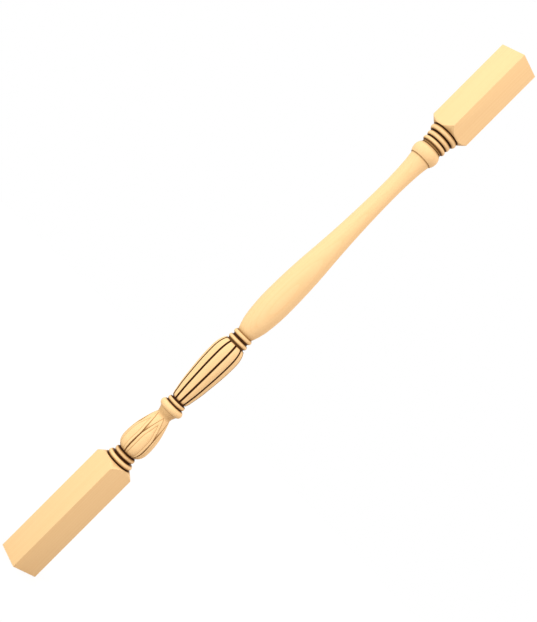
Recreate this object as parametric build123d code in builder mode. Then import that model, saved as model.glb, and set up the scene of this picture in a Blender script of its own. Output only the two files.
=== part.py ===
from build123d import *
from math import copysign, cos, radians, sin, sqrt, tan
import os

# Turned stair baluster in one piece of wood, standing on its foot end.
# The origin is the middle of the foot end, +Z runs up the axis, and the block faces are square to X and Y.
# A square block is left at each end. All between them is turned, then the bud is carved with leaves
# and the bulb above it with reeds. Sizes are in millimetres and degrees.
# A cut is the depth below the largest round that the stock gives, as a turner measures it.

# Stock
length = 900.0  # foot end to head end
section = 41.5  # side of the square stock

# Blocks, measured along a corner up to the turned shoulder
foot_block = 171.5
head_block = 124.2
foot_shoulder_slope = 39.0  # from the level
foot_shoulder_cut = 0.5
head_shoulder_slope = 41.0
head_shoulder_cut = 0.1

# Bead and collar on the foot block
foot_crease = 0.7
foot_crease_cut = 3.4
foot_bead = 6.7
foot_bead_cut = 1.75
foot_bead_seat_cut = 3.9
foot_groove = 2.2
foot_groove_cut = 8.0
collar = 6.2
collar_cut = 5.15
collar_seat_cut = 7.3
collar_groove = 1.6
collar_groove_step = 0.6  # below the ground of the bud

# Bud
bud = 66.3  # base to neck
bud_base_cut = 7.35
bud_belly = 19.5  # height of the widest round above the base
bud_belly_cut = 0.05
neck_cut = 10.15

# Leaves on the bud
leaf_count = 6
leaf_gap = 4.0  # angle between neighbouring leaves
leaf_height = 64.0  # height of the tips above the base
leaf_relief = 1.25  # how far the leaves stand above the ground between them

# Neck, torus and small bead above the bud
neck_flare = 7.5
torus = 10.0
torus_cut = 3.6
torus_seat_cut = 7.1
torus_groove = 1.6
torus_groove_cut = 8.8
small_bead = 4.8
small_bead_cut = 7.5
small_bead_seat_cut = 8.3
low_recess = 2.4

# Bulb
bulb = 100.6
bulb_base_cut = 9.45
bulb_belly = 75.0  # height of the widest round above the base
bulb_belly_cut = 0.05
bulb_top_cut = 5.75
high_recess = 2.1
low_recess_step = 0.2  # below the valleys of the bulb
high_recess_step = 0.7

# Reeds on the bulb
reed_count = 10
valley_share = 0.095  # depth of the valleys between reeds, as a share of the radius
reed_stations = 5  # sections that shape the reeds, below and above the belly

# Two rings between the bulb and the vase
low_ring = 5.8
low_ring_cut = 6.05
low_ring_seat_cut = 7.9
ring_groove = 3.0
ring_groove_cut = 9.0
high_ring = 6.1
high_ring_cut = 6.6
high_ring_seat_cut = 8.3

# Vase, which takes what the rest leaves of the length
vase_foot_cut = 8.85
vase_foot_neck = 1.4  # straight, between the high ring and the vase
vase_belly = 57.9  # height of the widest round above the vase's foot
vase_belly_cut = 0.25
vase_neck = 57.7  # from the narrowest round up to the ball
vase_neck_cut = 9.15
vase_top_cut = 5.5

# Ball, band and three beads under the head block
ball = 18.1
ball_cut = 1.85
ball_seat_cut = 4.6
ball_top_cut = 5.8
ball_crease = 0.7
ball_crease_cut = 7.3
band = 1.2
band_cut = 5.8
band_groove = 1.5
band_groove_cut = 6.5
third_bead = 6.0
third_bead_cut = 3.15
third_bead_seat_cut = 5.45
head_groove = 1.6
head_groove_cut = 6.8
second_bead = 6.7
second_bead_cut = 2.85
second_bead_seat_cut = 4.5
first_bead = 7.6
first_bead_cut = 0.15
first_bead_seat_cut = 2.8
head_crease = 0.6
head_crease_cut = 2.4

# Inner points of each flowing curve, as shares of its way out and up
bud_low_shape = [(0.63, 0.263), (0.94, 0.6)]
bud_high_shape = [(0.12, 0.308), (0.49, 0.636), (0.86, 0.908)]
ground_high_shape = [(0.14, 0.308), (0.52, 0.636), (0.905, 0.908)]
leaf_edge_shape = [(0.07, 0.342), (0.264, 0.507), (0.539, 0.735), (0.925, 0.963)]
neck_shape = [(0.3, 0.45)]
bulb_low_shape = [(0.37, 0.177), (0.745, 0.52)]
bulb_high_shape = [(0.09, 0.478), (0.571, 0.856)]

# Point where the two arcs of each stretch of the vase meet, as shares of the way out and up
vase_low_meet = (0.266, 0.6)
vase_high_meet = (0.36, 0.377)
vase_flare_meet = (0.356, 0.674)

# Lean of each curve at a free end, as out over up. It is upright at a widest or narrowest round.
bud_base_lean = 1.1
neck_lean = 0.8
bulb_base_lean = 0.6
bulb_top_lean = -1.0


def turned(depth):
    """Radius left by a cut of this depth."""
    return section / 2 - depth


def shoulder(slope, inner, outer):
    """Height of a turned shoulder between two radii."""
    return (outer - inner) * tan(radians(slope))


def bead(start, height, crest_radius, end_radius):
    """Round over a crest, halfway up, and return the end point."""
    end = Vector(end_radius, start.Y + height)
    pull = 2 * crest_radius - (start.X + end.X) / 2
    Bezier(start, (pull, start.Y + height / 2), end)
    return end


def groove(start, width, floor_radius, end_radius):
    """Cut square in to a floor from the start point, come out again, and return the end point."""
    end = Vector(end_radius, start.Y + width)
    Polyline(start, (floor_radius, start.Y), (floor_radius, end.Y), end)
    return end


def flow(start, end, shape, start_lean=0.0, end_lean=0.0):
    """Smooth curve between two points, through the inner points of its shape."""
    span = end - start
    inner = [start + Vector(span.X * out, span.Y * up) for out, up in shape]
    return Spline(start, *inner, end, tangents=[(start_lean, 1), (end_lean, 1)])


def two_arcs(start, end, meet):
    """Two tangent arcs, upright at the start, that meet at a share of the way out and up."""
    span = end - start
    middle = start + Vector(span.X * meet[0], span.Y * meet[1])
    first = TangentArc(start, middle, tangent=(0, copysign(1, span.Y)))
    TangentArc(middle, end, tangent=first % 1)


def around(radius, angle):
    """Point at this radius and angle round the axis."""
    return (radius * cos(radians(angle)), radius * sin(radians(angle)))


# Points of the outline, as radius and height, that more than one feature uses
corner_radius = section / sqrt(2)
blank_radius = corner_radius + 2.0  # past the corners, which the stock then cuts square

foot_shoulder_radius = turned(foot_shoulder_cut)
foot_shoulder_top = Vector(
    foot_shoulder_radius,
    foot_block + shoulder(foot_shoulder_slope, foot_shoulder_radius, corner_radius),
)
collar_top = foot_shoulder_top.Y + foot_crease + foot_bead + foot_groove + collar

bud_base = Vector(turned(bud_base_cut), collar_top + collar_groove)
bud_widest = Vector(turned(bud_belly_cut), bud_base.Y + bud_belly)
neck = Vector(turned(neck_cut), bud_base.Y + bud)
relief = Vector(leaf_relief, 0)
ground_base = bud_base - relief
ground_widest = bud_widest - relief

small_bead_top = neck.Y + neck_flare + torus + torus_groove + small_bead
bulb_base = Vector(turned(bulb_base_cut), small_bead_top + low_recess)
bulb_widest = Vector(turned(bulb_belly_cut), bulb_base.Y + bulb_belly)
bulb_top = Vector(turned(bulb_top_cut), bulb_base.Y + bulb)
low_floor = bulb_base.X * (1 - valley_share) - low_recess_step
high_floor = bulb_top.X * (1 - valley_share) - high_recess_step

head_shoulder_radius = turned(head_shoulder_cut)
head_shoulder_base = Vector(
    head_shoulder_radius,
    length - head_block - shoulder(head_shoulder_slope, head_shoulder_radius, corner_radius),
)
head_beads = third_bead + head_groove + second_bead + head_groove + first_bead + head_crease
rings = high_recess + low_ring + ring_groove + high_ring
vase_foot = Vector(turned(vase_foot_cut), bulb_top.Y + rings + vase_foot_neck)
band_stack = ball + ball_crease + band + band_groove
vase_top = Vector(turned(vase_top_cut), head_shoulder_base.Y - head_beads - band_stack)
vase_widest = Vector(turned(vase_belly_cut), vase_foot.Y + vase_belly)
vase_narrowest = Vector(turned(vase_neck_cut), vase_top.Y - vase_neck)

# Bulb, its reeds round over from valley to valley at every height
bulb_low_line = flow(bulb_base, bulb_widest, bulb_low_shape, start_lean=bulb_base_lean)
bulb_high_line = flow(bulb_widest, bulb_top, bulb_high_shape, end_lean=bulb_top_lean)
low_stations = [bulb_low_line @ (step / reed_stations) for step in range(reed_stations)]
high_stations = [bulb_high_line @ (step / reed_stations) for step in range(reed_stations + 1)]

reed_pitch = 360 / reed_count
half_reed = cos(radians(reed_pitch / 2))

with BuildPart() as reeded_bulb:
    for station in low_stations + high_stations:
        valley = station.X * (1 - valley_share)
        pull = 2 * station.X - valley * half_reed
        with BuildSketch(Plane.XY.offset(station.Y)):
            with BuildLine():
                for reed in range(reed_count):
                    angle = reed * reed_pitch
                    Bezier(
                        around(valley, angle),
                        around(pull, angle + reed_pitch / 2),
                        around(valley, angle + reed_pitch),
                    )
            make_face()
    loft()

# Leaf, a slice of the full bud inside the leaf's own outline, which is drawn looking at it
leaf_squeeze = sin(radians((360 / leaf_count - leaf_gap) / 2))
leaf_tip = Vector(0, bud_base.Y + leaf_height)

with BuildPart() as leaf:
    with BuildSketch(Plane.XZ):
        with BuildLine():
            flow(bud_base, bud_widest, bud_low_shape, start_lean=bud_base_lean)
            flow(bud_widest, neck, bud_high_shape)
            Polyline(neck, (0, neck.Y), (0, bud_base.Y), bud_base)
        make_face()
    revolve(axis=Axis.Z)
    with BuildSketch(Plane.YZ):
        with BuildLine():
            edge_base = Vector(bud_base.X * leaf_squeeze, bud_base.Y)
            edge_widest = Vector(bud_widest.X * leaf_squeeze, bud_widest.Y)
            flow(edge_base, edge_widest, bud_low_shape, start_lean=bud_base_lean * leaf_squeeze)
            flow(edge_widest, leaf_tip, leaf_edge_shape, end_lean=-0.5)
            mirror(about=Plane.YZ)
            Line(edge_base, (-edge_base.X, edge_base.Y))
        make_face()
    extrude(amount=section, mode=Mode.INTERSECT)

# Baluster, turned from the stock and then carved
with BuildPart() as baluster:
    with BuildSketch(Plane.XZ):
        with BuildLine():
            drop = shoulder(foot_shoulder_slope, foot_shoulder_radius, blank_radius)
            foot_corner = (blank_radius, foot_shoulder_top.Y - drop)
            Polyline((0, 0), (blank_radius, 0), foot_corner, foot_shoulder_top)

            # Bead and collar
            seat = turned(foot_bead_seat_cut)
            pen = groove(foot_shoulder_top, foot_crease, turned(foot_crease_cut), seat)
            pen = bead(pen, foot_bead, turned(foot_bead_cut), seat)
            seat = turned(collar_seat_cut)
            pen = groove(pen, foot_groove, turned(foot_groove_cut), seat)
            pen = bead(pen, collar, turned(collar_cut), seat)

            # Ground of the bud, up to the neck
            groove(pen, collar_groove, ground_base.X - collar_groove_step, ground_base.X)
            flow(ground_base, ground_widest, bud_low_shape, start_lean=bud_base_lean)
            flow(ground_widest, neck, ground_high_shape)

            # Flare, torus and small bead
            seat = turned(torus_seat_cut)
            pen = Vector(seat, neck.Y + neck_flare)
            flow(neck, pen, neck_shape, end_lean=neck_lean)
            pen = bead(pen, torus, turned(torus_cut), seat)
            seat = turned(small_bead_seat_cut)
            pen = groove(pen, torus_groove, turned(torus_groove_cut), seat)
            pen = bead(pen, small_bead, turned(small_bead_cut), seat)

            # Core of the bulb, from recess to recess
            seat = turned(low_ring_seat_cut)
            ring_base = Vector(seat, bulb_top.Y + high_recess)
            Polyline(
                pen, (low_floor, pen.Y), (low_floor, bulb_base.Y),
                (high_floor, bulb_top.Y), (high_floor, ring_base.Y), ring_base,
            )

            # Two rings
            pen = bead(ring_base, low_ring, turned(low_ring_cut), seat)
            pen = groove(pen, ring_groove, turned(ring_groove_cut), turned(high_ring_seat_cut))
            pen = bead(pen, high_ring, turned(high_ring_cut), vase_foot.X)

            # Vase
            Line(pen, vase_foot)
            two_arcs(vase_widest, vase_foot, vase_low_meet)
            two_arcs(vase_widest, vase_narrowest, vase_high_meet)
            two_arcs(vase_narrowest, vase_top, vase_flare_meet)

            # Ball and band
            pen = Vector(turned(ball_seat_cut), vase_top.Y)
            Line(vase_top, pen)
            pen = bead(pen, ball, turned(ball_cut), turned(ball_top_cut))
            pen = groove(pen, ball_crease, turned(ball_crease_cut), turned(band_cut))
            band_top = Vector(pen.X, pen.Y + band)
            Line(pen, band_top)

            # Three beads
            seat = turned(third_bead_seat_cut)
            pen = groove(band_top, band_groove, turned(band_groove_cut), seat)
            pen = bead(pen, third_bead, turned(third_bead_cut), seat)
            seat = turned(second_bead_seat_cut)
            pen = groove(pen, head_groove, turned(head_groove_cut), seat)
            pen = bead(pen, second_bead, turned(second_bead_cut), seat)
            seat = turned(first_bead_seat_cut)
            pen = groove(pen, head_groove, turned(head_groove_cut), seat)
            pen = bead(pen, first_bead, turned(first_bead_cut), seat)
            pen = groove(pen, head_crease, turned(head_crease_cut), head_shoulder_radius)

            # Head block
            rise = shoulder(head_shoulder_slope, head_shoulder_radius, blank_radius)
            head_corner = (blank_radius, head_shoulder_base.Y + rise)
            Polyline(pen, head_corner, (blank_radius, length), (0, length), (0, 0))
        make_face()
    revolve(axis=Axis.Z)
    with BuildSketch():
        Rectangle(section, section)
    extrude(amount=length, mode=Mode.INTERSECT)
    add(reeded_bulb.part)
    with PolarLocations(0, leaf_count, start_angle=180 / leaf_count):
        add(leaf.part)

baluster.part.label = "baluster"

os.makedirs("parts", exist_ok=True)
export_step(baluster.part, "parts/baluster.step")
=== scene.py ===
import math

import bpy
import numpy as np
from bpy.props import FloatProperty, FloatVectorProperty, IntProperty, PointerProperty
from mathutils import Matrix, Vector


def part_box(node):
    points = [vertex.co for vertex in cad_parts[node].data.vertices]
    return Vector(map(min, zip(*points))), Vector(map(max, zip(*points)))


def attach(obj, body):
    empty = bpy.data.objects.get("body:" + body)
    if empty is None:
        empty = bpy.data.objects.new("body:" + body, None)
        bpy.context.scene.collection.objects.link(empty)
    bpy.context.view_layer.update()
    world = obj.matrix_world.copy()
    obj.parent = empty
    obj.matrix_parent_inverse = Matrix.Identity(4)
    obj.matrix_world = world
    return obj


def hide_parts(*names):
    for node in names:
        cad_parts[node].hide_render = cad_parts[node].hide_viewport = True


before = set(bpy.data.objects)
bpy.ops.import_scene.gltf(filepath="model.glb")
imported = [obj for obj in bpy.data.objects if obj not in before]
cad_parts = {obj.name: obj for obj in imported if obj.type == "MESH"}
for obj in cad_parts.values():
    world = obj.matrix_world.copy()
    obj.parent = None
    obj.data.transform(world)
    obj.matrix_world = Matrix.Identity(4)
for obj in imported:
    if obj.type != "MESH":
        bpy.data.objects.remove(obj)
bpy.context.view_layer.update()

bl_info = {
    "name": "Turned stair baluster",
    "version": (1, 0, 0),
    "blender": (4, 5, 0),
    "location": "3D Viewport > Sidebar > Baluster",
    "description": "Turns, squares and carves a stair baluster, gives it its wood and sets up a plain studio",
    "category": "Add Mesh",
}

NODE = "baluster"
BODY = "root"
# Painted shade: the attribute below darkens the wood's colour where grooves and valleys close over a point
# and shade falls
PAINTED_SHADE_LAYER = "groove_shade"  # attribute of the mesh: how deep in a groove or valley a point lies, from 0 to 1
MM = 0.001
TINY = 1e-5
foot_corner, head_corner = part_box(NODE)


def size(name, millimetres, description):
    """A length. Its default is written in millimetres and held in metres."""
    return FloatProperty(
        name=name, description=description, default=millimetres * MM, min=0.0, unit="LENGTH", precision=5
    )


def share(name, value, description):
    """A plain number, such as a share of something."""
    return FloatProperty(name=name, description=description, default=value, precision=4)


def colour(name, value, description):
    """A colour, in linear values."""
    return FloatVectorProperty(
        name=name, description=description, default=value, size=3, min=0.0, max=1.0, subtype="COLOR"
    )


class BALUSTER_PG_stock(bpy.types.PropertyGroup):
    """The square stock and what is left square of it."""

    length: FloatProperty(
        name="Length", description="Foot end to head end", default=head_corner.z - foot_corner.z,
        unit="LENGTH",
    )
    section: FloatProperty(
        name="Section", description="Side of the square stock", default=head_corner.x - foot_corner.x,
        unit="LENGTH",
    )
    foot_block: size("Foot block", 171.5, "Square block at the foot, along a corner")
    head_block: size("Head block", 124.2, "Square block at the head, along a corner")
    foot_slope: FloatProperty(
        name="Foot slope", description="Slope of the turned shoulder of the foot block, from the level",
        default=math.radians(39.0), subtype="ANGLE",
    )
    head_slope: FloatProperty(
        name="Head slope", description="Slope of the turned shoulder of the head block, from the level",
        default=math.radians(41.0), subtype="ANGLE",
    )
    foot_shoulder_cut: size("Foot shoulder cut", 0.5, "Depth of cut where the foot shoulder ends")
    head_shoulder_cut: size("Head shoulder cut", 0.1, "Depth of cut where the head shoulder begins")
    arris: size("Arris", 0.35, "Width taken off the edges of the blocks with sandpaper")


class BALUSTER_PG_turning(bpy.types.PropertyGroup):
    """Beads, grooves and rings. A cut is a depth below the largest round of the stock."""

    foot_crease: size("Foot crease", 0.7, "Width of the crease on the foot block")
    foot_crease_cut: size("Foot crease cut", 3.4, "Depth of the crease on the foot block")
    foot_bead: size("Foot bead", 6.7, "Height of the bead on the foot block")
    foot_bead_cut: size("Foot bead cut", 1.75, "Cut at the crest of the foot bead")
    foot_bead_seat_cut: size("Foot bead seat", 3.9, "Cut at the edges of the foot bead")
    foot_groove: size("Foot groove", 2.2, "Width of the groove over the foot bead")
    foot_groove_cut: size("Foot groove cut", 8.0, "Depth of the groove over the foot bead")
    collar: size("Collar", 6.2, "Height of the collar under the bud")
    collar_cut: size("Collar cut", 5.15, "Cut at the crest of the collar")
    collar_seat_cut: size("Collar seat", 7.3, "Cut at the edges of the collar")
    collar_groove: size("Collar groove", 1.6, "Width of the groove over the collar")
    collar_groove_cut: size("Collar groove cut", 9.2, "Depth of the groove over the collar")
    neck_flare: size("Neck flare", 7.5, "Height of the flare over the neck of the bud")
    torus: size("Torus", 10.0, "Height of the torus over the bud")
    torus_cut: size("Torus cut", 3.6, "Cut at the crest of the torus")
    torus_seat_cut: size("Torus seat", 7.1, "Cut at the edges of the torus")
    torus_groove: size("Torus groove", 1.6, "Width of the groove over the torus")
    torus_groove_cut: size("Torus groove cut", 8.8, "Depth of the groove over the torus")
    small_bead: size("Small bead", 4.8, "Height of the small bead under the bulb")
    small_bead_cut: size("Small bead cut", 7.5, "Cut at the crest of the small bead")
    small_bead_seat_cut: size("Small bead seat", 8.3, "Cut at the edges of the small bead")
    low_recess: size("Low recess", 2.4, "Height of the recess under the bulb")
    high_recess: size("High recess", 2.1, "Height of the recess over the bulb")
    low_recess_step: size("Low recess step", 0.2, "Depth of the low recess below the bulb's valleys")
    high_recess_step: size("High recess step", 0.7, "Depth of the high recess below the bulb's valleys")
    low_ring: size("Low ring", 5.8, "Height of the low ring over the bulb")
    low_ring_cut: size("Low ring cut", 6.05, "Cut at the crest of the low ring")
    low_ring_seat_cut: size("Low ring seat", 7.9, "Cut at the edges of the low ring")
    ring_groove: size("Ring groove", 3.0, "Width of the groove between the rings")
    ring_groove_cut: size("Ring groove cut", 9.0, "Depth of the groove between the rings")
    high_ring: size("High ring", 6.1, "Height of the high ring under the vase")
    high_ring_cut: size("High ring cut", 6.6, "Cut at the crest of the high ring")
    high_ring_seat_cut: size("High ring seat", 8.3, "Cut at the lower edge of the high ring")
    ball: size("Ball", 18.1, "Height of the ball over the vase")
    ball_cut: size("Ball cut", 1.85, "Cut at the crest of the ball")
    ball_seat_cut: size("Ball seat", 4.6, "Cut where the ball sits on the vase")
    ball_top_cut: size("Ball top", 5.8, "Cut where the ball ends")
    ball_crease: size("Ball crease", 0.7, "Width of the crease over the ball")
    ball_crease_cut: size("Ball crease cut", 7.3, "Depth of the crease over the ball")
    band: size("Band", 1.2, "Height of the thin band over the ball")
    band_cut: size("Band cut", 5.8, "Cut of the thin band")
    band_groove: size("Band groove", 1.5, "Width of the groove over the thin band")
    band_groove_cut: size("Band groove cut", 6.5, "Depth of the groove over the thin band")
    third_bead: size("Third bead", 6.0, "Height of the lowest bead under the head block")
    third_bead_cut: size("Third bead cut", 3.15, "Cut at the crest of the lowest bead")
    third_bead_seat_cut: size("Third bead seat", 5.45, "Cut at the edges of the lowest bead")
    second_bead: size("Second bead", 6.7, "Height of the middle bead under the head block")
    second_bead_cut: size("Second bead cut", 2.85, "Cut at the crest of the middle bead")
    second_bead_seat_cut: size("Second bead seat", 4.5, "Cut at the edges of the middle bead")
    first_bead: size("First bead", 7.6, "Height of the bead against the head block")
    first_bead_cut: size("First bead cut", 0.15, "Cut at the crest of the first bead")
    first_bead_seat_cut: size("First bead seat", 2.8, "Cut at the edges of the first bead")
    head_groove: size("Head groove", 1.6, "Width of the grooves between the head beads")
    head_groove_cut: size("Head groove cut", 6.8, "Depth of the grooves between the head beads")
    head_crease: size("Head crease", 0.6, "Width of the crease on the head block")
    head_crease_cut: size("Head crease cut", 2.4, "Depth of the crease on the head block")


class BALUSTER_PG_bud(bpy.types.PropertyGroup):
    """The bud and the leaves carved on it."""

    height: size("Height", 66.3, "Base to neck")
    base_cut: size("Base cut", 7.35, "Cut at the base")
    belly: size("Belly", 19.5, "Height of the widest round above the base")
    belly_cut: size("Belly cut", 0.05, "Cut at the widest round")
    neck_cut: size("Neck cut", 10.15, "Cut at the neck")
    leaf_count: IntProperty(name="Leaves", description="Leaves round the bud", default=6)
    leaf_gap: FloatProperty(
        name="Leaf gap", description="Angle between neighbouring leaves", default=math.radians(4.0),
        subtype="ANGLE",
    )
    leaf_height: size("Leaf height", 64.0, "Height of the tips above the base")
    relief: size("Relief", 1.25, "How far the leaves stand above the ground between them")
    tip_relief: size("Tip relief", 0.55, "How far the tips stand above the ground")
    edge_round: size("Edge round", 0.9, "Width over which a leaf's edge rounds over")
    edge_line: size("Edge line", 0.35, "Depth of the line cut along the foot of a leaf's edge")
    rim: size("Rim", 4.1, "Width of the raised rim along a leaf's edge")
    rim_line: size("Rim line", 0.55, "Depth of the soft line inside the rim")
    rim_line_width: size("Rim line width", 0.85, "Width of the soft line, to each side")


class BALUSTER_PG_bulb(bpy.types.PropertyGroup):
    """The bulb and the reeds carved on it."""

    height: size("Height", 100.6, "Base to top")
    base_cut: size("Base cut", 9.45, "Cut at the base")
    belly: size("Belly", 75.0, "Height of the widest round above the base")
    belly_cut: size("Belly cut", 0.05, "Cut at the widest round")
    top_cut: size("Top cut", 5.75, "Cut at the top")
    reed_count: IntProperty(name="Reeds", description="Reeds round the bulb", default=10)
    valley_share: share("Valley share", 0.095, "Depth of the valleys, as a share of the radius")
    # Painted shade: the width below is how far the shade painted into each valley spreads
    valley_shade_width: size("Valley width", 2.15, "Width of the brown in a valley, to each side")
    roundness: share("Roundness", 3.0, "How flat a reed is: 2 is nearly an arc, more is flatter on top")


class BALUSTER_PG_vase(bpy.types.PropertyGroup):
    """The long vase, which takes what the rest leaves of the length."""

    foot_cut: size("Foot cut", 8.85, "Cut at the foot")
    foot_neck: size("Foot neck", 1.4, "Straight part between the high ring and the vase")
    belly: size("Belly", 57.9, "Height of the widest round above the foot")
    belly_cut: size("Belly cut", 0.25, "Cut at the widest round")
    neck: size("Neck", 57.7, "From the narrowest round up to the ball")
    neck_cut: size("Neck cut", 9.15, "Cut at the narrowest round")
    top_cut: size("Top cut", 5.5, "Cut at the top")


class BALUSTER_PG_wood(bpy.types.PropertyGroup):
    """The finish of the wood, and the painted shade in its grooves."""

    pale: colour("Pale wood", (0.97, 0.655, 0.325), "Early wood")
    warm: colour("Warm wood", (0.90, 0.56, 0.25), "Late wood and flecks")
    # Painted shade: the two colours below are mixed into the wood where grooves, valleys and creases lie in
    # shade
    edge: colour("Edge shade", (0.38, 0.19, 0.055), "Lighter brown along the edges of the grooves")
    shade: colour("Groove shade", (0.040, 0.010, 0.002), "What has settled in the grooves")
    ring: size("Growth ring", 2.4, "Width of a growth ring")
    figure: share("Figure", 0.30, "Strength of the growth rings")
    fibre: share("Fibre", 0.22, "Strength of the fine fibres")
    # Painted shade: how much of the painted shade the thin band and the turned shoulders keep
    band_shade_share: share("Band share", 0.5, "How much of the brown settles round the thin band")
    shoulder_shade_share: share("Shoulder share", 0.65, "How much of the brown settles on the turned shoulders")
    roughness: share("Roughness", 0.48, "Roughness of the sanded surface")
    grain_height: size("Grain height", 0.06, "Height of the grain as felt")


class BALUSTER_PG_stage(bpy.types.PropertyGroup):
    """The floor, the lamps and the camera."""

    distance: size("Camera distance", 1305.0, "Camera to the axis of the baluster")
    drop: size("Camera drop", 0.57, "Camera below the middle of the baluster")
    focal: share("Focal length", 59.38, "Focal length in millimetres, on a 36 mm sensor")
    world: share("World", 1.1, "Strength of the even light from all round")
    key: share("Key lamp", 26.0, "Watts of the large lamp on the left")
    fill: share("Fill lamp", 5.0, "Watts of the warm lamp on the right")
    fill_colour: colour("Fill colour", (1.0, 0.55, 0.45), "Colour of the lamp on the right")
    floor_colour: colour("Floor", (0.3, 0.3, 0.3), "Colour of the floor")
    floor_white: share("Floor white", 0.85, "How much of the floor is plain white to the camera")


# Inner points of each flowing curve, as shares of its way out and up
BUD_LOW = [(0.63, 0.263), (0.94, 0.6)]
BUD_HIGH = [(0.12, 0.308), (0.49, 0.636), (0.86, 0.908)]
LEAF_EDGE = [(0.07, 0.342), (0.264, 0.507), (0.539, 0.735), (0.925, 0.963)]
NECK = [(0.3, 0.45)]
BULB_LOW = [(0.37, 0.177), (0.745, 0.52)]
BULB_HIGH = [(0.09, 0.478), (0.571, 0.856)]

# Point where the two arcs of each stretch of the vase meet, as shares of the way out and up
VASE_LOW_MEET = (0.266, 0.6)
VASE_HIGH_MEET = (0.36, 0.377)
VASE_FLARE_MEET = (0.356, 0.674)

# Lean of each curve at a free end, as out over up
BUD_BASE_LEAN = 1.1
NECK_LEAN = 0.8
BULB_BASE_LEAN = 0.6
BULB_TOP_LEAN = -1.0

# Faces round the baluster
PLAIN_COLUMNS = 144
CARVED_COLUMNS = 600

# Turned shade: step and number of the spots looked at along the outline, and how wide each one blends
SPOT_STEP = 0.3 * MM
SPOTS_LOOKED_AT = 90
SPOT_BLEND = 0.25 * MM

# Leaves: heights over the widest round at which the relief and the shade begin to fade, the line along the
# foot of the edge, and how much wider the soft line is on its inner side
RELIEF_FADE = 12 * MM
SHADE_FADE = 14 * MM
EDGE_LINE_OFFSET = 0.1 * MM
EDGE_LINE_WIDTH = 0.45 * MM
INNER_SPREAD = 2.4

# Shade on the leaves
GROUND_SHADE = 0.42
CREASE_SHADE = 0.45
CREASE_FADE = 0.2
CREASE_WIDTH = 0.6 * MM
RIM_SHADE = 0.3
RIM_SHADE_WIDTH = 0.7 * MM

# Reeds: the broad part of their fall towards a valley, and the half width of the valley's painted shade that
# is darkest
BROAD_SHARE = 0.35
BROAD_POWER = 2.2
VALLEY_DARK = 0.3 * MM

# Grain: where the pith lies beside the stock, how far the rings bend, and how fine each noise is
PITH_X = 0.085
PITH_Y = 0.06
RING_BEND = 5.0
RING_SHARPNESS = 3.0
BEND_SCALE = (9, 9, 1.6)
COARSE_SCALE = (260, 260, 7)
FINE_SCALE = (1500, 1500, 26)
FLECK_SCALE = (900, 900, 110)
PAINTED_SHADE_SCALE = (350, 350, 120)
FLECK_SHARE = 0.12

# Stage, in metres
FLOOR_RADIUS = 3.0
FLOOR_DROP = 0.1 * MM
KEY_PLACE = (0.05, -2.4, 0.5)
KEY_WIDTH = 0.95
FILL_PLACE = (1.9, 0.5, 0.7)
FILL_WIDTH = 1.2
SENSOR_WIDTH = 36.0


def flow(start, end, shape, steps, start_lean=0.0, end_lean=0.0):
    """Points of a smooth curve from start to end through its inner points, with a lean at each end."""
    start, end = Vector(start), Vector(end)
    span = end - start
    points = [start, *(start + Vector((span.x * out, span.y * up)) for out, up in shape), end]
    at = [0.0]
    for a, b in zip(points, points[1:]):
        at.append(at[-1] + (b - a).length)
    slopes = [Vector((start_lean, 1)).normalized()]
    for i in range(1, len(points) - 1):
        before, after = at[i] - at[i - 1], at[i + 1] - at[i]
        down, up = (points[i] - points[i - 1]) / before, (points[i + 1] - points[i]) / after
        slopes.append((down * after + up * before) / (before + after))
    slopes.append(Vector((end_lean, 1)).normalized())
    made = []
    for step in range(steps + 1):
        t = at[-1] * step / steps
        i = min(max(j for j in range(len(at)) if at[j] <= t + 1e-12), len(at) - 2)
        width = at[i + 1] - at[i]
        s = (t - at[i]) / width
        made.append(
            points[i] * (2 * s**3 - 3 * s**2 + 1) + slopes[i] * (width * (s**3 - 2 * s**2 + s))
            + points[i + 1] * (3 * s**2 - 2 * s**3) + slopes[i + 1] * (width * (s**3 - s**2))
        )
    return made


def arc(start, tangent, end, steps):
    """Points of the arc that leaves the start along a tangent and ends at the end, and its last tangent."""
    start, end, tangent = Vector(start), Vector(end), Vector(tangent).normalized()
    normal = Vector((-tangent.y, tangent.x))
    way = end - start
    radius = way.length_squared / (2 * way.dot(normal))
    sweep = 2 * math.atan2(way.dot(normal), way.dot(tangent))
    turns = [sweep * step / steps for step in range(steps + 1)]
    points = [start + tangent * (radius * math.sin(a)) + normal * (radius * (1 - math.cos(a))) for a in turns]
    return points, tangent * math.cos(sweep) + normal * math.sin(sweep)


def two_arcs(start, end, meet, steps):
    """Points of two tangent arcs, upright at the start, that meet at a share of the way out and up."""
    start, end = Vector(start), Vector(end)
    span = end - start
    middle = start + Vector((span.x * meet[0], span.y * meet[1]))
    first, tangent = arc(start, (0, math.copysign(1, span.y)), middle, steps)
    second, _ = arc(middle, tangent, end, steps)
    return first + second[1:]


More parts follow.
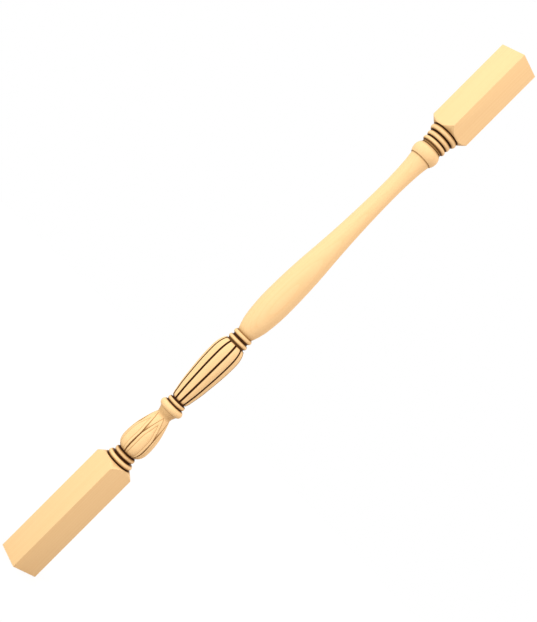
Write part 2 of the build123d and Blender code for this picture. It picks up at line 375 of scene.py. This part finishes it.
class Outline:
    """Half of the turned outline, drawn from the foot up as rows of radius and height."""

    def __init__(self, section):
        self.full_round = section / 2
        self.rows = []
        self.grooves = []
        # Heights where the painted shade is scaled, each with the share of it kept
        self.shade_shares = []

    def turned(self, depth):
        """Radius left by a cut of this depth."""
        return self.full_round - depth

    @property
    def height(self):
        """Height of the last row."""
        return self.rows[-1][1]

    def to(self, *points):
        """Straight lines to these points, given as radius and height."""
        for radius, height in points:
            if not self.rows or (Vector((radius, height)) - Vector(self.rows[-1])).length > TINY:
                self.rows.append((radius, height))

    def bead(self, height, crest_cut, end_cut, steps=6):
        """Round over a crest, in as many steps on each side, upright at the crest."""
        start = Vector(self.rows[-1])
        crest = (self.turned(crest_cut), start.y + height / 2)
        end = (self.turned(end_cut), start.y + height)
        lower, _ = arc(crest, (0, -1), start, steps)
        upper, _ = arc(crest, (0, 1), end, steps)
        self.to(*reversed(lower), *upper)

    def groove(self, width, floor, end_cut):
        """Straight in to a floor, up and out again, and remembered as a groove."""
        low = self.height
        end = self.turned(end_cut)
        self.grooves.append((low, low + width))
        self.to((floor, low), (floor, low + width), (end, low + width))


def shoulder(slope, inner, outer):
    """Height of a turned shoulder between two radii."""
    return (outer - inner) * math.tan(slope)


def draw_outline(scene):
    """The whole outline, and the heights and radii that the carver needs."""
    stock, cuts, bud, bulb, vase = (
        scene.baluster_stock, scene.baluster_turning, scene.baluster_bud, scene.baluster_bulb,
        scene.baluster_vase,
    )
    line = Outline(stock.section)
    turned = line.turned
    band_shade_share, shoulder_shade_share = scene.baluster_wood.band_shade_share, scene.baluster_wood.shoulder_shade_share
    corner = stock.section / math.sqrt(2)
    blank = corner + 2 * MM

    # Foot block, bead and collar
    seat = turned(stock.foot_shoulder_cut)
    top = stock.foot_block + shoulder(stock.foot_slope, seat, corner)
    line.to((blank, 0), (blank, top - shoulder(stock.foot_slope, seat, blank)), (seat, top))
    # Scales the painted shade on the turned shoulder of the foot block
    line.shade_shares.append((stock.foot_block, top, shoulder_shade_share))
    line.groove(cuts.foot_crease, turned(cuts.foot_crease_cut), cuts.foot_bead_seat_cut)
    line.bead(cuts.foot_bead, cuts.foot_bead_cut, cuts.foot_bead_seat_cut)
    line.groove(cuts.foot_groove, turned(cuts.foot_groove_cut), cuts.collar_seat_cut)
    line.bead(cuts.collar, cuts.collar_cut, cuts.collar_seat_cut)
    line.groove(cuts.collar_groove, turned(cuts.collar_groove_cut), bud.base_cut)

    # Bud, neck and torus
    base = Vector((turned(bud.base_cut), line.height))
    widest = Vector((turned(bud.belly_cut), base.y + bud.belly))
    neck = Vector((turned(bud.neck_cut), base.y + bud.height))
    bud_rows = flow(base, widest, BUD_LOW, 26, start_lean=BUD_BASE_LEAN)
    bud_rows += flow(widest, neck, BUD_HIGH, 60)[1:]
    line.to(*bud_rows)
    torus_seat = (turned(cuts.torus_seat_cut), neck.y + cuts.neck_flare)
    line.to(*flow(neck, torus_seat, NECK, 8, end_lean=NECK_LEAN))
    line.bead(cuts.torus, cuts.torus_cut, cuts.torus_seat_cut, steps=7)
    line.groove(cuts.torus_groove, turned(cuts.torus_groove_cut), cuts.small_bead_seat_cut)
    line.bead(cuts.small_bead, cuts.small_bead_cut, cuts.small_bead_seat_cut, steps=5)

    # Recess, bulb and recess
    deepest = 1 - bulb.valley_share
    low_floor = turned(bulb.base_cut) * deepest - cuts.low_recess_step
    high_floor = turned(bulb.top_cut) * deepest - cuts.high_recess_step
    line.groove(cuts.low_recess, low_floor, bulb.base_cut)
    bulb_base = Vector((turned(bulb.base_cut), line.height))
    bulb_widest = Vector((turned(bulb.belly_cut), bulb_base.y + bulb.belly))
    bulb_top = Vector((turned(bulb.top_cut), bulb_base.y + bulb.height))
    line.to(*flow(bulb_base, bulb_widest, BULB_LOW, 36, start_lean=BULB_BASE_LEAN))
    line.to(*flow(bulb_widest, bulb_top, BULB_HIGH, 22, end_lean=BULB_TOP_LEAN))
    line.groove(cuts.high_recess, high_floor, cuts.low_ring_seat_cut)

    # Two rings and the vase
    line.bead(cuts.low_ring, cuts.low_ring_cut, cuts.low_ring_seat_cut)
    line.groove(cuts.ring_groove, turned(cuts.ring_groove_cut), cuts.high_ring_seat_cut)
    line.bead(cuts.high_ring, cuts.high_ring_cut, vase.foot_cut)
    line.to((turned(vase.foot_cut), line.height + vase.foot_neck))
    vase_foot = Vector(line.rows[-1])
    seat = turned(stock.head_shoulder_cut)
    shoulder_base = stock.length - stock.head_block - shoulder(stock.head_slope, seat, corner)
    above = (
        cuts.ball + cuts.ball_crease + cuts.band + cuts.band_groove + cuts.third_bead + cuts.second_bead
        + cuts.first_bead + 2 * cuts.head_groove + cuts.head_crease
    )
    vase_top = Vector((turned(vase.top_cut), shoulder_base - above))
    vase_widest = Vector((turned(vase.belly_cut), vase_foot.y + vase.belly))
    vase_narrowest = Vector((turned(vase.neck_cut), vase_top.y - vase.neck))
    line.to(*reversed(two_arcs(vase_widest, vase_foot, VASE_LOW_MEET, 9)))
    line.to(*two_arcs(vase_widest, vase_narrowest, VASE_HIGH_MEET, 14))
    line.to(*two_arcs(vase_narrowest, vase_top, VASE_FLARE_MEET, 8))

    # Ball, band and three beads
    line.to((turned(cuts.ball_seat_cut), line.height))
    line.bead(cuts.ball, cuts.ball_cut, cuts.ball_top_cut, steps=10)
    crease_low = line.height
    line.groove(cuts.ball_crease, turned(cuts.ball_crease_cut), cuts.band_cut)
    band_low = line.height
    line.to((turned(cuts.band_cut), band_low + cuts.band))
    band_high = line.height
    line.groove(cuts.band_groove, turned(cuts.band_groove_cut), cuts.third_bead_seat_cut)
    # Scales the painted shade round the ball crease, the thin band and its groove
    line.shade_shares.append((crease_low, band_low, band_shade_share))
    line.shade_shares.append((band_low, band_high, band_shade_share / 2))
    line.shade_shares.append((band_high, line.height, band_shade_share))
    line.bead(cuts.third_bead, cuts.third_bead_cut, cuts.third_bead_seat_cut)
    line.groove(cuts.head_groove, turned(cuts.head_groove_cut), cuts.second_bead_seat_cut)
    line.bead(cuts.second_bead, cuts.second_bead_cut, cuts.second_bead_seat_cut)
    line.groove(cuts.head_groove, turned(cuts.head_groove_cut), cuts.first_bead_seat_cut)
    line.bead(cuts.first_bead, cuts.first_bead_cut, cuts.first_bead_seat_cut)
    line.groove(cuts.head_crease, turned(cuts.head_crease_cut), stock.head_shoulder_cut)

    # Head block
    # Scales the painted shade on the turned shoulder of the head block
    line.shade_shares.append((line.height, stock.length - stock.head_block, shoulder_shade_share))
    line.to((blank, line.height + shoulder(stock.head_slope, seat, blank)), (blank, stock.length))
    line.bud = (base, widest, neck, bud_rows)
    line.bulb = (bulb_base, bulb_widest, bulb_top, low_floor, high_floor)
    return line


def only(*objects):
    """Selects these objects alone, with the last of them active."""
    bpy.ops.object.select_all(action="DESELECT")
    for obj in objects:
        obj.select_set(True)
    bpy.context.view_layer.objects.active = objects[-1]


def turn(name, rows, columns, copies=1):
    """A turned piece: a line drawn point by point from the axis out and back, and spun round it.

    Where the round is copies of one carved share, only that share is spun here, ready for the carver.
    """
    bpy.ops.object.select_all(action="DESELECT")
    bpy.ops.mesh.primitive_plane_add(size=MM, location=(0, 0, rows[0][1]))
    piece = bpy.context.object
    piece.name = piece.data.name = name
    bpy.ops.object.transform_apply(location=True, rotation=True, scale=True)
    bpy.ops.object.mode_set(mode="EDIT")
    bpy.ops.mesh.select_all(action="SELECT")
    bpy.ops.mesh.merge(type="CENTER")
    here = Vector((0, 0, rows[0][1]))
    for radius, height in [*rows, (0, rows[-1][1])]:
        there = Vector((radius, 0, height))
        bpy.ops.mesh.extrude_region_move(TRANSFORM_OT_translate={"value": there - here})
        here = there
    bpy.ops.mesh.select_all(action="SELECT")
    bpy.ops.mesh.spin(
        steps=columns // copies, angle=math.tau / copies, center=(0, 0, 0), axis=(0, 0, 1),
        use_auto_merge=copies == 1,
    )
    tidy_faces()
    bpy.ops.object.mode_set(mode="OBJECT")
    return piece


def copy_round(piece, copies):
    """Copies a carved share of the round until it closes."""
    only(piece)
    bpy.ops.object.mode_set(mode="EDIT")
    bpy.ops.mesh.select_all(action="SELECT")
    bpy.ops.mesh.spin(
        steps=copies - 1, angle=math.tau * (copies - 1) / copies, center=(0, 0, 0), axis=(0, 0, 1), dupli=True
    )
    tidy_faces()
    bpy.ops.object.mode_set(mode="OBJECT")


def tidy_faces():
    """Merges doubles and turns all faces outwards, in edit mode."""
    bpy.ops.mesh.select_all(action="SELECT")
    bpy.ops.mesh.remove_doubles(threshold=MM / 500)
    bpy.ops.mesh.normals_make_consistent(inside=False)


def square_up(piece, scene):
    """Cuts a turned piece to the square stock, with eased arrises."""
    stock = scene.baluster_stock
    bpy.ops.object.select_all(action="DESELECT")
    bpy.ops.mesh.primitive_cube_add(size=1, location=(0, 0, stock.length / 2))
    cutter = bpy.context.object
    cutter.scale = (stock.section, stock.section, stock.length)
    bpy.ops.object.transform_apply(location=True, rotation=True, scale=True)
    bpy.ops.object.mode_set(mode="EDIT")
    bpy.ops.mesh.select_all(action="SELECT")
    bpy.ops.mesh.bevel(offset=stock.arris, segments=2, profile=0.5)
    bpy.ops.object.mode_set(mode="OBJECT")
    only(piece)
    cut = piece.modifiers.new("Square stock", "BOOLEAN")
    cut.operation = "INTERSECT"
    cut.solver = "EXACT"
    cut.object = cutter
    bpy.ops.object.modifier_apply(modifier=cut.name)
    bpy.data.objects.remove(cutter)
    bpy.ops.object.mode_set(mode="EDIT")
    tidy_faces()
    bpy.ops.object.mode_set(mode="OBJECT")


def places(piece):
    """Vertices of a piece as an array."""
    flat = np.empty(len(piece.data.vertices) * 3)
    piece.data.vertices.foreach_get("co", flat)
    return flat.reshape(-1, 3)


def ease(value, low, high):
    """Rises smoothly from 0 at the low value to 1 at the high one."""
    t = np.clip((value - low) / (high - low), 0, 1)
    return t * t * (3 - 2 * t)


def turned_shade(line, radius, height, reach=9 * MM):
    """How far the turned outline closes over each point, from 0 in the open to 1 shut in."""
    spots, tangents = [], []
    for low, high in zip(line.rows, line.rows[1:]):
        low, high = np.array(low), np.array(high)
        length = np.hypot(*(high - low))
        count = max(1, math.ceil(length / SPOT_STEP))
        for i in range(count):
            spots.append(low + (high - low) * (i + 0.5) / count)
            tangents.append((high - low) / length)
    spots, tangents = np.array(spots), np.array(tangents)
    closed = np.zeros(len(spots))
    for i, (spot, tangent) in enumerate(zip(spots, tangents)):
        for side in (-1, 1):
            behind = spots[max(0, i - SPOTS_LOOKED_AT):i]
            others = spots[i + 1:i + SPOTS_LOOKED_AT] if side > 0 else behind
            way = others - spot
            way = way[np.hypot(*way.T) < reach]
            rise = way[:, 0] * tangent[1] - way[:, 1] * tangent[0]
            angles = np.arctan2(rise, side * (way @ tangent))
            closed[i] += max(0, angles.max(initial=0)) / math.pi
    for low, high, share_kept in line.shade_shares:
        closed[(spots[:, 1] > low) & (spots[:, 1] < high)] *= share_kept
    marks = np.zeros(len(radius))
    for start in range(0, len(radius), 2000):
        part = slice(start, start + 2000)
        gap = (radius[part, None] - spots[None, :, 0]) ** 2 + (height[part, None] - spots[None, :, 1]) ** 2
        weight = np.exp((gap.min(axis=1, keepdims=True) - gap) / SPOT_BLEND**2)
        marks[part] = (weight @ closed) / weight.sum(axis=1)
    return marks


def mark_painted_shade(piece, line, carved=0.0):
    """Keeps on the mesh the painted shade of each point, from how far the turned outline closes over it or
    from the carved shade, from 0 to 1.
    """
    points = places(piece)
    marks = turned_shade(line, np.hypot(points[:, 0], points[:, 1]), points[:, 2])
    layer = piece.data.attributes.new(PAINTED_SHADE_LAYER, "FLOAT", "POINT")
    layer.data.foreach_set("value", np.maximum(marks, carved).astype(np.float32))


def finish(piece, scene, angle=35):
    """Smooths a piece, gives it the wood, and lets it stand for the CAD part."""
    only(piece)
    bpy.ops.object.shade_smooth_by_angle(angle=math.radians(angle))
    piece.data.materials.clear()
    piece.data.materials.append(wood(scene))
    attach(piece, BODY)
    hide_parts(NODE)


def stretch(line, low, high):
    """Rows of the outline between two heights, with a point on the outline at each end."""
    radii = [r for r, z in line.rows]
    heights = [z for r, z in line.rows]
    ends = [(float(np.interp(z, heights, radii)), z) for z in (low, high)]
    inner = [(r, z) for r, z in line.rows if low + TINY < z < high - TINY]
    return [ends[0], *inner, ends[1]]


def joints(line):
    """Heights at which the pieces meet, halfway up a groove or recess."""
    bulb_base, bulb_top = line.bulb[0].y, line.bulb[2].y
    bud_base = line.bud[0].y
    middles = [(low + high) / 2 for low, high in line.grooves]
    return [
        next(z for z in reversed(middles) if z < bud_base),
        next(z for z in reversed(middles) if z < bulb_base),
        next(z for z in middles if z > bulb_top),
    ]


def carve_leaves(piece, scene, line):
    """Cuts the ground back between the leaves and works their rims. Gives each point's shade."""
    bud = scene.baluster_bud
    base, widest, neck, rows = line.bud
    points = places(piece)
    radius, height = np.hypot(points[:, 0], points[:, 1]), points[:, 2]
    angle = np.arctan2(points[:, 1], points[:, 0])
    row_radii, row_heights = np.array([p.x for p in rows]), np.array([p.y for p in rows])
    leaf = np.interp(height, row_heights, row_radii)

    half = (math.tau / bud.leaf_count - bud.leaf_gap) / 2
    tip = base.y + bud.leaf_height
    edge = flow((widest.x * math.sin(half), widest.y), (0, tip), LEAF_EDGE, 60)
    side = np.interp(height, [p.y for p in edge], [p.x for p in edge])
    reach = np.where(height < widest.y, half, np.arcsin(np.clip(side / leaf, 0, 1)))
    reach = np.where(height > tip, -(height - tip) / leaf, reach)
    pitch = math.tau / bud.leaf_count
    off = np.abs((angle + math.pi) % pitch - pitch / 2)
    slope = np.interp(
        height, row_heights,
        np.gradient(np.interp(row_heights, [p.y for p in edge], [p.x for p in edge]), row_heights),
    )
    slope = np.where(height < widest.y, 0, slope)
    inward = (reach - off) * leaf / np.sqrt(1 + slope**2)

    relief = bud.relief + (bud.tip_relief - bud.relief) * ease(height, widest.y + RELIEF_FADE, tip)
    relief *= 1 - ease(height, tip, neck.y)
    edge_share = np.clip(inward / bud.edge_round, 0, 1)
    cover = np.sqrt(1 - (1 - edge_share) ** 2)
    drop = relief * (1 - cover)
    drop += bud.edge_line * np.exp(-(((inward + EDGE_LINE_OFFSET) / EDGE_LINE_WIDTH) ** 2)) * (relief > 0)
    rim = bud.rim * np.where(height < widest.y, leaf / widest.x, 1)
    line_width = np.where(inward < rim, bud.rim_line_width, INNER_SPREAD * bud.rim_line_width)
    drop += bud.rim_line * np.exp(-(((inward - rim) / line_width) ** 2)) * (inward > 0)

    carved = (height > base.y - TINY) & (height < neck.y) & (radius > leaf - 0.5 * MM)
    drop = np.where(carved, drop, 0)
    points[:, :2] *= ((radius - drop) / np.maximum(radius, TINY))[:, None]
    piece.data.vertices.foreach_set("co", points.ravel())
    piece.data.update()
    # Painted shade: darker on the ground between the leaves, along the crease at the foot of each edge and
    # along the soft line inside the rim
    depth = GROUND_SHADE * ease(drop, 0.35 * MM, 1.35 * MM) * (1 - ease(height, widest.y + SHADE_FADE, tip))
    faded = 1 - CREASE_FADE * ease(height, widest.y + SHADE_FADE, tip)
    crease = CREASE_SHADE * faded * np.exp(-(((inward + EDGE_LINE_OFFSET) / CREASE_WIDTH) ** 2))
    crease *= height < tip
    soft = RIM_SHADE * np.exp(-(((inward - rim) / RIM_SHADE_WIDTH) ** 2))
    return np.where(carved, np.maximum(np.maximum(depth, crease), soft), 0)


def carve_reeds(piece, scene, line):
    """Cuts the valleys between the reeds. Gives each point's shade."""
    bulb = scene.baluster_bulb
    base, widest, top, low_floor, high_floor = line.bulb
    points = places(piece)
    radius, height = np.hypot(points[:, 0], points[:, 1]), points[:, 2]
    angle = np.arctan2(points[:, 1], points[:, 0])
    pitch = math.tau / bulb.reed_count
    out = np.abs((angle + math.pi * 2) % pitch - pitch / 2) / (pitch / 2)
    roll = BROAD_SHARE * out**BROAD_POWER + (1 - BROAD_SHARE) * out ** (bulb.roundness * 3)
    carved = (height > base.y - TINY) & (height < top.y + TINY) & (radius > high_floor * 0.5)
    carved &= ~((height < base.y + TINY) & (radius < base.x - 0.2 * MM))
    carved &= ~((height > top.y - TINY) & (radius < top.x - 0.2 * MM))
    drop = np.where(carved, bulb.valley_share * radius * roll, 0)
    points[:, :2] *= ((radius - drop) / np.maximum(radius, TINY))[:, None]
    piece.data.vertices.foreach_set("co", points.ravel())
    piece.data.update()
    # Painted shade in the valleys between the reeds, darkest near their middle
    from_valley = (1 - out) * pitch / 2 * radius
    return np.where(carved, 1 - ease(from_valley, VALLEY_DARK, bulb.valley_shade_width), 0)


class Value:
    """A shader socket that Python's own operators work on."""

    def __init__(self, graph, socket):
        self.graph = graph
        self.socket = socket

    def math(self, operation, *values):
        return self.graph.node("ShaderNodeMath", {"operation": operation}, dict(enumerate(values)))

    def __add__(self, other):
        return self.math("ADD", self, other)

    def __radd__(self, other):
        return self.math("ADD", other, self)

    def __sub__(self, other):
        return self.math("SUBTRACT", self, other)

    def __rsub__(self, other):
        return self.math("SUBTRACT", other, self)

    def __mul__(self, other):
        return self.math("MULTIPLY", self, other)

    def __rmul__(self, other):
        return self.math("MULTIPLY", other, self)

    def __truediv__(self, other):
        return self.math("DIVIDE", self, other)

    def __pow__(self, other):
        return self.math("POWER", self, other)


class Graph:
    """The nodes of one material or world."""

    def __init__(self, tree):
        self.tree = tree
        tree.nodes.clear()

    def node(self, kind, settings=None, sockets=None, output=0):
        """A node of this type, with its settings made first and then its sockets. Gives one output."""
        made = self.tree.nodes.new(kind)
        for name, value in (settings or {}).items():
            if name == "stops":
                ramp = made.color_ramp
                while len(ramp.elements) < len(value):
                    ramp.elements.new(1)
                for element, (position, shade) in zip(ramp.elements, value):
                    element.position = position
                    element.color = (*shade, 1)
            else:
                setattr(made, name, value)
        for name, value in (sockets or {}).items():
            if isinstance(value, Value):
                self.tree.links.new(value.socket, made.inputs[name])
            else:
                made.inputs[name].default_value = value
        return Value(self, made.outputs[output]) if made.outputs else made

    def mix(self, share, first, second):
        """A colour between two others."""
        sockets = {0: share, 6: first, 7: second}
        return self.node("ShaderNodeMix", {"data_type": "RGBA", "clamp_factor": True}, sockets, output=2)

    def scaled(self, vector, factors):
        """A vector with each of its parts multiplied."""
        return self.node("ShaderNodeVectorMath", {"operation": "MULTIPLY"}, {0: vector, 1: factors})

    def noise(self, vector, scale, detail=3.0, roughness=0.5, distortion=0.0):
        """Noise from 0 to 1."""
        sockets = {
            "Vector": vector, "Scale": scale, "Detail": detail, "Roughness": roughness,
            "Distortion": distortion,
        }
        return self.node("ShaderNodeTexNoise", None, sockets)

    def eased(self, value, low, high):
        """Rises smoothly from 0 at the low value to 1 at the high one."""
        settings = {"interpolation_type": "SMOOTHSTEP"}
        return self.node("ShaderNodeMapRange", settings, {"Value": value, "From Min": low, "From Max": high})


def rgba(value):
    """A colour with its alpha."""
    return (value[0], value[1], value[2], 1.0)


def wood(scene):
    """Pale close-grained wood, oiled to a satin, with painted shade in the grooves."""
    made = bpy.data.materials.get("pale_turned_wood")
    if made:
        return made
    finish_of = scene.baluster_wood
    made = bpy.data.materials.new("pale_turned_wood")
    made.use_nodes = True
    graph = Graph(made.node_tree)
    place = graph.node("ShaderNodeTexCoord", None, None, output=3)

    # Growth rings round a pith outside the stock, gently bent along the length
    bend = graph.noise(graph.scaled(place, BEND_SCALE), 1.0, detail=2.0)
    x = graph.node("ShaderNodeSeparateXYZ", None, {0: place}, output=0)
    y = graph.node("ShaderNodeSeparateXYZ", None, {0: place}, output=1)
    away = ((x + PITH_X) * (x + PITH_X) + (y - PITH_Y) * (y - PITH_Y)) ** 0.5
    phase = away / finish_of.ring + bend * RING_BEND
    wave = graph.node("ShaderNodeMath", {"operation": "FRACT"}, {0: phase})
    rings = wave ** RING_SHARPNESS

    # Fibres drawn out along the length
    coarse = graph.noise(graph.scaled(place, COARSE_SCALE), 1.0, detail=3.0, roughness=0.6)
    fine = graph.noise(graph.scaled(place, FINE_SCALE), 1.0, detail=2.0)
    flecks = graph.eased(graph.noise(graph.scaled(place, FLECK_SCALE), 1.0, detail=1.0), 0.66, 0.78)
    fibres = graph.eased(coarse, 0.35, 0.75)
    tone = rings * finish_of.figure + fibres * finish_of.fibre + flecks * FLECK_SHARE

    # Painted shade in the grooves and valleys, broken up a little, with a lighter brown along its edges
    mark = graph.node("ShaderNodeAttribute", {"attribute_name": PAINTED_SHADE_LAYER}, None, output=2)
    painted_shade = mark * (graph.noise(graph.scaled(place, PAINTED_SHADE_SCALE), 1.0) * 0.2 + 0.9)
    edge, deep = graph.eased(painted_shade, 0.07, 0.46), graph.eased(painted_shade, 0.28, 0.66)

    base = graph.mix(tone, rgba(finish_of.pale), rgba(finish_of.warm))
    base = graph.mix(edge, base, rgba(finish_of.edge))
    base = graph.mix(deep, base, rgba(finish_of.shade))
    rough = finish_of.roughness + fine * 0.08 + mark * 0.2 - 0.04
    bump = graph.node(
        "ShaderNodeBump", None,
        {"Strength": 0.35, "Distance": finish_of.grain_height, "Height": fine * 0.6 + coarse * 0.4},
    )
    surface = graph.node(
        "ShaderNodeBsdfPrincipled", None,
        {"Base Color": base, "Roughness": rough, "Normal": bump, "IOR": 1.47, "Specular IOR Level": 0.08},
    )
    graph.node("ShaderNodeOutputMaterial", None, {"Surface": surface})
    return made


class BALUSTER_OT_foot_block(bpy.types.Operator):
    """Turn and square the foot block with its bead and collar"""

    bl_idname = "baluster.foot_block"
    bl_label = "Foot block"

    def execute(self, context):
        scene = context.scene
        line = draw_outline(scene)
        piece = turn("foot_block", stretch(line, 0, joints(line)[0]), PLAIN_COLUMNS)
        square_up(piece, scene)
        mark_painted_shade(piece, line)
        finish(piece, scene)
        return {"FINISHED"}


class BALUSTER_OT_leaf_bud(bpy.types.Operator):
    """Turn the bud, its torus and bead, and carve the leaves"""

    bl_idname = "baluster.leaf_bud"
    bl_label = "Leaf bud"

    def execute(self, context):
        scene = context.scene
        line = draw_outline(scene)
        leaves = scene.baluster_bud.leaf_count
        low, high, _ = joints(line)
        piece = turn("leaf_bud", stretch(line, low, high), CARVED_COLUMNS, leaves)
        mark_painted_shade(piece, line, carve_leaves(piece, scene, line))
        copy_round(piece, leaves)
        finish(piece, scene, angle=60)
        return {"FINISHED"}


class BALUSTER_OT_reeded_bulb(bpy.types.Operator):
    """Turn the bulb and carve the reeds"""

    bl_idname = "baluster.reeded_bulb"
    bl_label = "Reeded bulb"

    def execute(self, context):
        scene = context.scene
        line = draw_outline(scene)
        reeds = scene.baluster_bulb.reed_count
        _, low, high = joints(line)
        piece = turn("reeded_bulb", stretch(line, low, high), CARVED_COLUMNS, reeds)
        mark_painted_shade(piece, line, carve_reeds(piece, scene, line))
        copy_round(piece, reeds)
        finish(piece, scene, angle=60)
        return {"FINISHED"}


class BALUSTER_OT_vase_and_head(bpy.types.Operator):
    """Turn the rings, the vase, the ball and the head beads, and square the head block"""

    bl_idname = "baluster.vase_and_head"
    bl_label = "Vase and head block"

    def execute(self, context):
        scene = context.scene
        line = draw_outline(scene)
        piece = turn("vase_and_head", stretch(line, joints(line)[2], line.height), PLAIN_COLUMNS)
        square_up(piece, scene)
        mark_painted_shade(piece, line)
        finish(piece, scene)
        return {"FINISHED"}


def area_lamp(name, place, aim, width, power, tint):
    """A large soft lamp turned towards a point."""
    bpy.ops.object.light_add(type="AREA", location=place)
    lamp = bpy.context.object
    lamp.name = name
    lamp.data.size = width
    lamp.data.energy = power
    lamp.data.color = tint
    lamp.rotation_euler = (Vector(aim) - Vector(place)).to_track_quat("-Z", "Y").to_euler()


def seen_rays(graph):
    """1 where the camera, a clear reflection or clear glass looks, and 0 for light on its way."""
    rays = [graph.node("ShaderNodeLightPath", None, None, output=i) for i in (0, 3, 6)]
    seen = graph.node("ShaderNodeMath", {"operation": "MAXIMUM"}, {0: rays[0], 1: rays[1]})
    return graph.node("ShaderNodeMath", {"operation": "MAXIMUM"}, {0: seen, 1: rays[2]})


class BALUSTER_OT_stage(bpy.types.Operator):
    """Lay the floor, hang the lamps and set up the camera"""

    bl_idname = "baluster.stage"
    bl_label = "Stage"

    def execute(self, context):
        scene = context.scene
        stage, stock = scene.baluster_stage, scene.baluster_stock
        middle = Vector((0, 0, stock.length / 2))

        bpy.ops.object.select_all(action="DESELECT")
        bpy.ops.mesh.primitive_circle_add(
            vertices=96, radius=FLOOR_RADIUS, fill_type="NGON", location=(0, 0, -FLOOR_DROP)
        )
        floor = bpy.context.object
        floor.name = "floor"
        paint = bpy.data.materials.new("pale_floor")
        paint.use_nodes = True
        graph = Graph(paint.node_tree)
        seen = seen_rays(graph)
        tone = graph.mix(seen, rgba(stage.floor_colour), (1, 1, 1, 1))
        matt = graph.node("ShaderNodeBsdfDiffuse", None, {"Color": tone})
        white = graph.node("ShaderNodeEmission", None, {"Color": (1, 1, 1, 1), "Strength": 1.0})
        both = graph.node("ShaderNodeMixShader", None, {0: seen * stage.floor_white, 1: matt, 2: white})
        graph.node("ShaderNodeOutputMaterial", None, {"Surface": both})
        floor.data.materials.append(paint)

        world = bpy.data.worlds.new("studio")
        scene.world = world
        world.use_nodes = True
        graph = Graph(world.node_tree)
        even = graph.node("ShaderNodeBackground", None, {"Color": (1, 1, 1, 1), "Strength": stage.world})
        white = graph.node("ShaderNodeBackground", None, {"Color": (1, 1, 1, 1), "Strength": 1.0})
        sky = graph.node("ShaderNodeMixShader", None, {0: seen_rays(graph), 1: even, 2: white})
        graph.node("ShaderNodeOutputWorld", None, {"Surface": sky})

        area_lamp("key", KEY_PLACE, middle, KEY_WIDTH, stage.key, (1, 1, 1))
        area_lamp("fill", FILL_PLACE, middle, FILL_WIDTH, stage.fill, stage.fill_colour)

        toward = Vector((1, -1, 0)).normalized()
        right = Vector((1, 1, 0)).normalized()
        up = Vector((0, 0, 1))
        stand = middle + toward * stage.distance - up * stage.drop
        bpy.ops.object.camera_add(location=stand)
        camera = bpy.context.object
        camera.data.lens = stage.focal
        camera.data.sensor_width = SENSOR_WIDTH
        axes = ((up + right).normalized(), (up - right).normalized(), toward)
        camera.matrix_world = Matrix.Translation(stand) @ Matrix(axes).transposed().to_4x4()
        scene.camera = camera
        scene.view_settings.view_transform = "Standard"
        return {"FINISHED"}


PIECES = (BALUSTER_OT_foot_block, BALUSTER_OT_leaf_bud, BALUSTER_OT_reeded_bulb, BALUSTER_OT_vase_and_head)
GROUPS = (
    ("baluster_stock", BALUSTER_PG_stock, "Stock"),
    ("baluster_turning", BALUSTER_PG_turning, "Turning"),
    ("baluster_bud", BALUSTER_PG_bud, "Bud"),
    ("baluster_bulb", BALUSTER_PG_bulb, "Bulb"),
    ("baluster_vase", BALUSTER_PG_vase, "Vase"),
    ("baluster_wood", BALUSTER_PG_wood, "Wood"),
    ("baluster_stage", BALUSTER_PG_stage, "Stage"),
)


class BALUSTER_PT_panel(bpy.types.Panel):
    """Sizes and colours of the baluster, and a button for each of its pieces"""

    bl_idname = "BALUSTER_PT_panel"
    bl_label = "Baluster"
    bl_space_type = "VIEW_3D"
    bl_region_type = "UI"
    bl_category = "Baluster"

    def draw(self, context):
        for operator in (*PIECES, BALUSTER_OT_stage):
            self.layout.operator(operator.bl_idname)
        for name, group, title in GROUPS:
            box = self.layout.box()
            box.label(text=title)
            for field in group.__annotations__:
                box.prop(getattr(context.scene, name), field)


def register():
    for name, group, _ in GROUPS:
        bpy.utils.register_class(group)
        setattr(bpy.types.Scene, name, PointerProperty(type=group))
    for operator in (*PIECES, BALUSTER_OT_stage, BALUSTER_PT_panel):
        bpy.utils.register_class(operator)


def unregister():
    for operator in reversed((*PIECES, BALUSTER_OT_stage, BALUSTER_PT_panel)):
        bpy.utils.unregister_class(operator)
    for name, group, _ in reversed(GROUPS):
        delattr(bpy.types.Scene, name)
        bpy.utils.unregister_class(group)


def main():
    register()
    bpy.ops.baluster.foot_block()
    bpy.ops.baluster.leaf_bud()
    bpy.ops.baluster.reeded_bulb()
    bpy.ops.baluster.vase_and_head()
    bpy.ops.baluster.stage()


if __name__ == "__main__":
    main()
